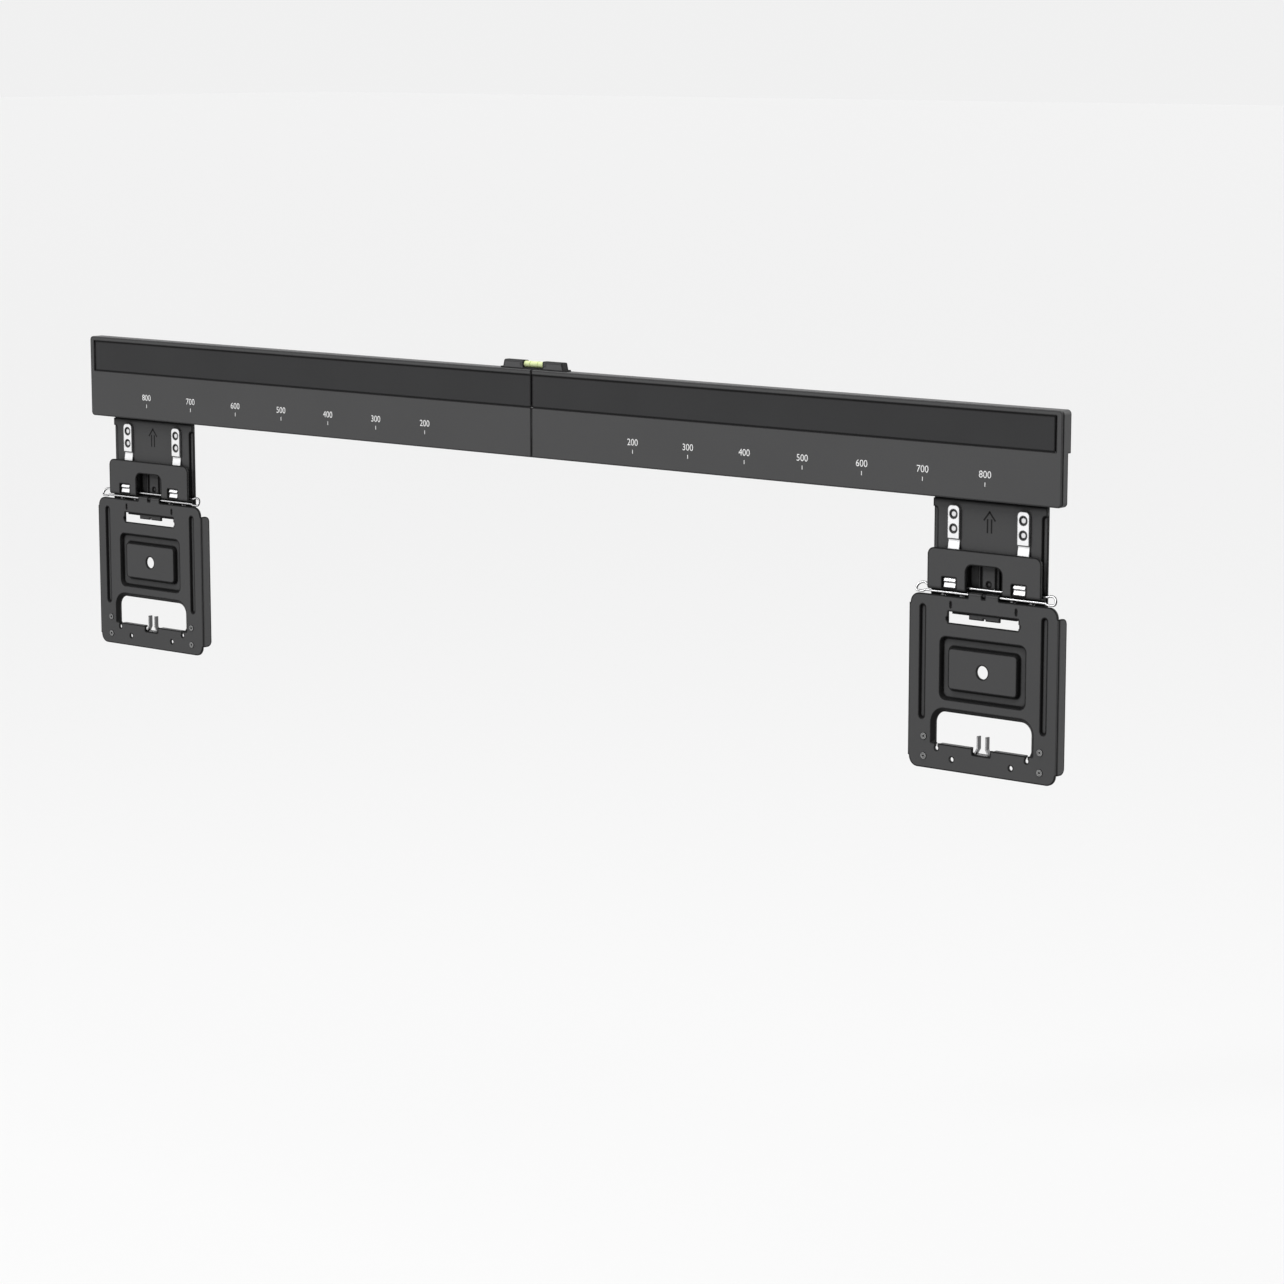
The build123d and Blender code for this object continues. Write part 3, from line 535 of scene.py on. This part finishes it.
@dataclass(frozen=True)
class ClearVial:
    """Tinted clear plastic of a level's vial."""

    name: str
    colour: Colour
    cloud: float = 0.006
    dull: float = 0.9
    bright: float = 1.08
    roughness: float = 0.1
    rough_cloud: float = 0.06
    coat: float = 0.6
    clearness: float = 0.1

    def material(self) -> bpy.types.Material:
        """Build the finish.

        Returns:
            The material.
        """
        shader = Shader(self.name)
        cloud = shader.noise(self.cloud, SOFT)
        shader.set(Base_Color=shader.mottled(cloud, self.colour, self.dull, self.bright))
        shader.set(Roughness=self.roughness + self.rough_cloud * cloud)
        shader.set(Coat_Weight=self.coat, Transmission_Weight=self.clearness)
        return shader.material


@dataclass(frozen=True)
class PrintInk:
    """Printed ink, a little uneven."""

    name: str
    colour: Colour
    grain: float = 0.0004
    dull: float = 0.8
    bright: float = 1.1
    roughness: float = 0.55
    rough_grain: float = 0.15
    gloss: float = 0.12

    def material(self) -> bpy.types.Material:
        """Build the finish.

        Returns:
            The material.
        """
        shader = Shader(self.name)
        grain = shader.noise(self.grain, FINE)
        shader.set(Base_Color=shader.mottled(grain, self.colour, self.dull, self.bright))
        shader.set(Roughness=self.roughness + self.rough_grain * grain, Specular_IOR_Level=self.gloss)
        return shader.material


@dataclass(frozen=True)
class FloorPaper:
    """Matt paper of the floor, which glows pale to the camera and in reflections."""

    name: str
    colour: Colour
    grain: float = 0.02
    dull: float = 0.99
    bright: float = 1.01
    roughness: float = 0.9
    gloss: float = 0.1
    glow: float = 0.7

    def material(self) -> bpy.types.Material:
        """Build the finish.

        Returns:
            The material.
        """
        shader = Shader(self.name)
        grain = shader.noise(self.grain, SOFT)
        paper = shader.mottled(grain, self.colour, self.dull, self.bright)
        shader.set(Base_Color=paper, Roughness=self.roughness, Specular_IOR_Level=self.gloss)
        glow = shader.mix(shown_rays(shader), BLACK, scaled(WHITE, self.glow))
        shader.set(Emission_Color=glow, Emission_Strength=1.0)
        return shader.material


@dataclass(frozen=True)
class Palette:
    """Every finish of the object's own pieces, as built materials."""

    rail: bpy.types.Material
    strip: bpy.types.Material
    hanger: bpy.types.Material
    level: bpy.types.Material
    vial: bpy.types.Material
    zinc: bpy.types.Material
    spring: bpy.types.Material
    clip: bpy.types.Material
    rivet: bpy.types.Material
    eyelet: bpy.types.Material
    chrome: bpy.types.Material
    ink: bpy.types.Material
    mark: bpy.types.Material
    ring: bpy.types.Material

    @classmethod
    def mixed(cls) -> "Palette":
        """Build the materials from their finishes.

        Returns:
            The palette.
        """
        return cls(
            # Painted shade along the rail's edges, bends and grooves
            rail=PowderCoat("rail_coat", (0.071, 0.071, 0.072), edge_width=0.0012, edge_dark=0.2).material(),
            strip=MouldedPlastic("strip_plastic", (0.032, 0.032, 0.033)).material(),
            # Painted shade along edges, bends and grooves, and in the gaps to nearby pieces
            hanger=PowderCoat(
                "hanger_coat",
                (0.065, 0.065, 0.066),
                edge_width=0.0016,
                edge_dark=0.06,
                bend_dark=0.06,
                groove_reach=0.006,
                groove_dark=0.05,
                neighbours=True,
            ).material(),
            # Painted shade on the level's sides and bends
            level=MouldedPlastic("level_plastic", (0.078, 0.078, 0.080), side_dark=0.15).material(),
            vial=ClearVial("vial_clear", (0.58, 0.66, 0.33)).material(),
            zinc=BrightSteel("zinc_plate", (0.50, 0.51, 0.53), roughness=0.35).material(),
            spring=BrightSteel("spring_steel", (0.93, 0.93, 0.94), roughness=0.35).material(),
            # Painted shade on the clip's sides and in the gaps to nearby pieces
            clip=BrightSteel(
                "clip_steel", (0.92, 0.92, 0.93), side_shade=0.12, groove_reach=0.006, neighbours=True
            ).material(),
            rivet=BrightSteel("rivet_steel", (0.85, 0.85, 0.86)).material(),
            # Blackened, with a painted highlight along its rim
            eyelet=BrightSteel(
                "eyelet_steel", (0.009, 0.009, 0.009), edge_width=0.0009, edge_shade=45.0
            ).material(),
            # Painted shade along the wire's sides, where they turn from the front
            chrome=BrightSteel(
                "wire_chrome", (0.95, 0.95, 0.96), side_shade=0.05, side_turn=((0.5, 1.0), (0.82, 0.0))
            ).material(),
            ink=PrintInk("scale_ink", (0.85, 0.85, 0.85)).material(),
            mark=PrintInk("arrow_mark", (0.012, 0.012, 0.012)).material(),
            ring=PrintInk("vial_ring", (0.30, 0.36, 0.10)).material(),
        )


def dress(node: str, material: bpy.types.Material) -> None:
    """Give every material slot of a CAD node one finish.

    Args:
        node: Name of the node.
        material: Its finish.
    """
    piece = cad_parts[node]
    if not piece.material_slots:
        piece.data.materials.append(material)
    for slot in piece.material_slots:
        slot.material = material
    LOG.info("%s wears %s", node, material.name)


def add_piece(
    name: str,
    mesh: bpy.types.Mesh,
    material: bpy.types.Material,
    body: str,
) -> None:
    """Put a mesh into the scene as a piece of the object.

    Args:
        name: Name of the piece.
        mesh: Its mesh, in the object's frame.
        material: Its finish.
        body: Body that it rides on.
    """
    piece = bpy.data.objects.new(name, mesh)
    bpy.context.scene.collection.objects.link(piece)
    mesh.materials.clear()
    mesh.materials.append(material)
    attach(piece, body)
    LOG.info("%s rides on %s", name, body)


def flat_plate(
    mesh: bmesh.types.BMesh,
    outline: Sequence[tuple[float, float]],
    back: float,
    height: float,
) -> None:
    """Add a thin upright plate that faces the front.

    Args:
        mesh: Mesh that takes it.
        outline: Its corners across and up, in metres, anticlockwise seen from the front.
        back: Place of its back face along Y.
        height: How far it stands out towards the front.
    """
    rear = [mesh.verts.new((x, back, z)) for x, z in outline]
    front = [mesh.verts.new((x, back - height, z)) for x, z in outline]
    mesh.faces.new(front)
    mesh.faces.new(list(reversed(rear)))
    for index in range(len(outline)):
        following = (index + 1) % len(outline)
        mesh.faces.new((front[index], rear[index], rear[following], front[following]))


def finished_mesh(name: str, mesh: bmesh.types.BMesh) -> bpy.types.Mesh:
    """Turn a working mesh into mesh data with outward faces.

    Args:
        name: Name of the mesh data.
        mesh: Working mesh, which is freed.

    Returns:
        The mesh data.
    """
    bmesh.ops.recalc_face_normals(mesh, faces=mesh.faces)
    data = bpy.data.meshes.new(name)
    mesh.to_mesh(data)
    mesh.free()
    return data


def figure_mesh(text: str, height: float, centre: Point, thickness: float) -> bpy.types.Mesh:
    """Plain figures as a thin mesh that faces the front.

    Args:
        text: The figures.
        height: Height of a figure.
        centre: Middle of the text, on the surface that it is printed on.
        thickness: How far the print stands out.

    Returns:
        The mesh, in the object's frame.
    """
    curve = bpy.data.curves.new("figures", "FONT")
    curve.body = text
    curve.size = height / FIGURE_SHARE
    curve.align_x = "CENTER"
    curve.align_y = "CENTER"
    curve.extrude = thickness / 2
    holder = bpy.data.objects.new("figures", curve)
    bpy.context.scene.collection.objects.link(holder)
    bpy.context.view_layer.update()
    graph = bpy.context.evaluated_depsgraph_get()
    mesh = bpy.data.meshes.new_from_object(holder.evaluated_get(graph))
    bpy.data.objects.remove(holder)
    bpy.data.curves.remove(curve)
    for vertex in mesh.vertices:
        across, up, out = vertex.co
        vertex.co = (centre[0] + across, centre[1] - thickness / 2 - out, centre[2] + up)
    return mesh


@dataclass
class WidthScale:
    """Ticks and figures on the rail's lower face, one pair for each fixing width in millimetres."""

    widths: Iterable[int] = range(200, 801, 100)
    tick_drop: float = 52.0 * MM
    tick_width: float = 0.55 * MM
    tick_height: float = 2.8 * MM
    figure_height: float = 4.8 * MM
    figure_lift: float = 6.4 * MM
    ink_height: float = 0.03 * MM

    def build(self, palette: Palette) -> None:
        """Print the scale on both halves of the rail.

        Args:
            palette: The object's finishes.
        """
        for side in Side:
            low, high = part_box(f"{side.word}_rail")
            mesh = bmesh.new()
            tick_z = high[2] - self.tick_drop
            for width in self.widths:
                x = side.value * width * MM / 2
                self._add_tick(mesh, x, low[1], tick_z)
                centre = (x, low[1], tick_z + self.figure_lift)
                figures = figure_mesh(str(width), self.figure_height, centre, self.ink_height)
                mesh.from_mesh(figures)
                bpy.data.meshes.remove(figures)
            data = finished_mesh(f"{side.word}_scale", mesh)
            add_piece(f"{side.word}_scale", data, palette.ink, "rail")

    def _add_tick(self, mesh: bmesh.types.BMesh, x: float, surface: float, z: float) -> None:
        """Add one upright tick.

        Args:
            mesh: Mesh that takes it.
            x: Its middle along the rail.
            surface: Place of the printed face along Y.
            z: Its middle in height.
        """
        half_width = self.tick_width / 2
        half_height = self.tick_height / 2
        corners = [(-1, -1), (1, -1), (1, 1), (-1, 1)]
        outline = [(x + across * half_width, z + up * half_height) for across, up in corners]
        flat_plate(mesh, outline, surface, self.ink_height)


@dataclass
class WallRail:
    """The rail in two halves with its cover strips, hidden joint and printed scale."""

    scale: WidthScale = field(default_factory=WidthScale)

    def build(self, palette: Palette) -> None:
        """Dress the rail's nodes and print its scale.

        Args:
            palette: The object's finishes.
        """
        for side in Side:
            dress(f"{side.word}_rail", palette.rail)
            dress(f"{side.word}_cover_strip", palette.strip)
        dress("splice_plate", palette.zinc)
        dress("splice_screws", palette.zinc)
        self.scale.build(palette)


@dataclass
class SpiritLevel:
    """The level on top of the rail."""

    ring_width: float = 0.4 * MM
    ring_height: float = 0.06 * MM
    ring_reach: float = 3.6 * MM
    ring_sides: int = 36

    def build(self, palette: Palette) -> None:
        """Dress the level and mark its vial.

        Args:
            palette: The object's finishes.
        """
        dress("level_holder", palette.level)
        dress("level_vial", palette.vial)
        low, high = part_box("level_vial")
        middle = [(near + far) / 2 for near, far in zip(low, high)]
        radius = (high[2] - low[2]) / 2
        mesh = bmesh.new()
        for side in Side:
            self._add_ring(mesh, middle[0] + side.value * self.ring_reach, middle[1:], radius)
        add_piece("level_rings", finished_mesh("level_rings", mesh), palette.ring, "rail")

    def _add_ring(self, mesh: bmesh.types.BMesh, x: float, axis: Sequence[float], radius: float) -> None:
        """Add one thin band round the vial.

        Args:
            mesh: Mesh that takes it.
            x: Middle of the band along the vial.
            axis: The vial's axis across the rail and up.
            radius: The vial's radius.
        """
        steps = [math.tau * step / self.ring_sides for step in range(self.ring_sides)]
        loops = []
        for across, lift in ((-1, 0.0), (-1, 1.0), (1, 1.0), (1, 0.0)):
            reach = radius + lift * self.ring_height
            place = x + across * self.ring_width / 2
            loops.append([
                mesh.verts.new((place, axis[0] + reach * math.cos(turn), axis[1] + reach * math.sin(turn)))
                for turn in steps
            ])
        for first, second in zip(loops, loops[1:] + loops[:1]):
            for index in range(self.ring_sides):
                following = (index + 1) % self.ring_sides
                mesh.faces.new((first[index], first[following], second[following], second[index]))


@dataclass
class Hanger:
    """One sliding hanger: carriage, hook plate, springs, bail and the hinged front plate."""

    side: Side
    arrow_tip_drop: float = 7.7 * MM
    arrow_height: float = 13.3 * MM
    arrow_half_width: float = 4.2 * MM
    arrow_head_height: float = 5.2 * MM
    shaft_half_width: float = 1.6 * MM
    line_width: float = 1.2 * MM
    line_height: float = 0.04 * MM

    def build(self, palette: Palette) -> None:
        """Dress the hanger's nodes and mark its neck.

        Args:
            palette: The object's finishes.
        """
        word = self.side.word
        for node in ("carriage", "hook_plate", "screen_plate"):
            dress(f"{word}_{node}", palette.hanger)
        for node in ("outer_leaf_spring", "inner_leaf_spring"):
            dress(f"{word}_{node}", palette.spring)
        dress(f"{word}_spring_clip", palette.clip)
        for node in ("leaf_rivets", "hook_rivets"):
            dress(f"{word}_{node}", palette.rivet)
        dress(f"{word}_corner_eyelets", palette.eyelet)
        dress(f"{word}_bail", palette.chrome)
        self._add_arrow(palette)

    def _add_arrow(self, palette: Palette) -> None:
        """Mark the neck's panel with an outlined arrow that points up into the rail.

        Args:
            palette: The object's finishes.
        """
        word = self.side.word
        rail_low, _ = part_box(f"{word}_rail")
        hook_low, hook_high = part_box(f"{word}_hook_plate")
        # The leaf springs lie on the panel, so their back is its face
        _, leaf_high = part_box(f"{word}_outer_leaf_spring")
        middle = (hook_low[0] + hook_high[0]) / 2
        tip = rail_low[2] - self.arrow_tip_drop
        base = tip - self.arrow_head_height
        foot = tip - self.arrow_height
        strokes = [
            ((-self.arrow_half_width, base), (0.0, tip)),
            ((0.0, tip), (self.arrow_half_width, base)),
            ((-self.shaft_half_width, foot), (-self.shaft_half_width, base)),
            ((self.shaft_half_width, foot), (self.shaft_half_width, base)),
        ]
        mesh = bmesh.new()
        for start, end in strokes:
            run = Vector(end) - Vector(start)
            along = run.normalized() * self.line_width / 2
            across = Vector((-along.y, along.x))
            first = Vector(start) - along
            last = Vector(end) + along
            corners = [first - across, last - across, last + across, first + across]
            outline = [(middle + corner.x, corner.y) for corner in corners]
            flat_plate(mesh, outline, leaf_high[1], self.line_height)
        data = finished_mesh(f"{word}_arrow", mesh)
        add_piece(f"{word}_arrow", data, palette.mark, f"{word}_hanger")


def set_up(name: str, data: bpy.types.ID, place: Point, gaze: Vector) -> bpy.types.Object:
    """Put a lamp or the camera into the scene.

    Args:
        name: Name of the object.
        data: Its lamp or camera data.
        place: Where it stands.
        gaze: Direction that it looks in.

    Returns:
        The new object.
    """
    holder = bpy.data.objects.new(name, data)
    holder.location = place
    holder.rotation_euler = gaze.to_track_quat("-Z", "Y").to_euler()
    bpy.context.scene.collection.objects.link(holder)
    return holder


@dataclass(frozen=True)
class Sun:
    """A soft far light, by the angles it comes from, in degrees to the right of the front and up."""

    name: str
    turn: float
    height: float
    strength: float
    softness: float

    def hang(self) -> None:
        """Put the light into the scene."""
        lamp = bpy.data.lights.new(self.name, "SUN")
        lamp.energy = self.strength
        lamp.angle = math.radians(self.softness)
        turn = math.radians(self.turn)
        height = math.radians(self.height)
        level_part = math.cos(height)
        towards = Vector((math.sin(turn) * level_part, -math.cos(turn) * level_part, math.sin(height)))
        set_up(self.name, lamp, ORIGIN, -towards)


@dataclass(frozen=True)
class SoftBox:
    """A square soft lamp that looks at the object's origin, with its side in metres and power in watts."""

    name: str
    place: Point
    size: float
    power: float

    def hang(self) -> None:
        """Put the lamp into the scene."""
        lamp = bpy.data.lights.new(self.name, "AREA")
        lamp.size = self.size
        lamp.energy = self.power
        set_up(self.name, lamp, self.place, -Vector(self.place))


@dataclass
class Studio:
    """Plain pale floor, soft light and the camera."""

    floor_drop: float = 0.45
    floor_half_width: float = 40.0
    paper: FloorPaper = FloorPaper("floor_paper", (0.16, 0.16, 0.16))
    world_light: float = 0.68
    backdrop_light: float = 0.875
    lights: tuple[Union[Sun, SoftBox], ...] = (
        Sun("key_light", turn=-30.0, height=30.0, strength=0.9, softness=9.0),
        Sun("fill_light", turn=80.0, height=10.0, strength=0.85, softness=40.0),
        Sun("back_light", turn=170.0, height=8.0, strength=1.3, softness=40.0),
        SoftBox("top_light", place=(0.2, -0.6, 2.2), size=2.5, power=75.0),
    )
    camera_place: Point = (1.7815, -2.0036, 0.2554)
    camera_target: Point = (0.1087, -0.0100, -0.1704)
    focal_pixels: float = 3735.0
    sensor: float = 36.0
    view_reach: float = 100.0

    def build(self) -> None:
        """Set the stage round the object."""
        bpy.context.scene.view_settings.view_transform = "Standard"
        self._add_floor()
        self._light_world()
        for light in self.lights:
            light.hang()
        self._add_camera()

    def _add_floor(self) -> None:
        """Lay the floor below the object."""
        low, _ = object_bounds()
        level = low[2] - self.floor_drop
        half = self.floor_half_width
        mesh = bmesh.new()
        corners = ((-half, -half), (half, -half), (half, half), (-half, half))
        mesh.faces.new([mesh.verts.new((x, y, level)) for x, y in corners])
        data = finished_mesh("floor", mesh)
        data.materials.append(self.paper.material())
        floor = bpy.data.objects.new("floor", data)
        bpy.context.scene.collection.objects.link(floor)
        floor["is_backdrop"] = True

    def _light_world(self) -> None:
        """Even light from all round, with a pale backdrop for the camera and for reflections."""
        world = bpy.data.worlds.new("studio")
        bpy.context.scene.world = world
        world.use_nodes = True
        sky = Nodes(world.node_tree)
        strength = self.world_light + (self.backdrop_light - self.world_light) * shown_rays(sky)
        light = sky.node("ShaderNodeBackground", inputs={"Color": (*WHITE, 1.0), "Strength": strength})
        sky.node("ShaderNodeOutputWorld", inputs={"Surface": light.outputs[0]})

    def _add_camera(self) -> None:
        """Stand the camera at the photograph's viewing angle."""
        camera = bpy.data.cameras.new("photo_view")
        camera.sensor_width = self.sensor
        camera.lens = self.focal_pixels / PHOTO_PIXELS * self.sensor
        camera.clip_end = self.view_reach
        gaze = Vector(self.camera_target) - Vector(self.camera_place)
        bpy.context.scene.camera = set_up("photo_view", camera, self.camera_place, gaze)


def main() -> None:
    """Build the looks of the whole object and its studio."""
    logging.basicConfig(level=logging.INFO, format="%(message)s")
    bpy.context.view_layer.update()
    palette = Palette.mixed()
    WallRail().build(palette)
    SpiritLevel().build(palette)
    for side in Side:
        Hanger(side).build(palette)
    Studio().build()


if __name__ == "__main__":
    main()
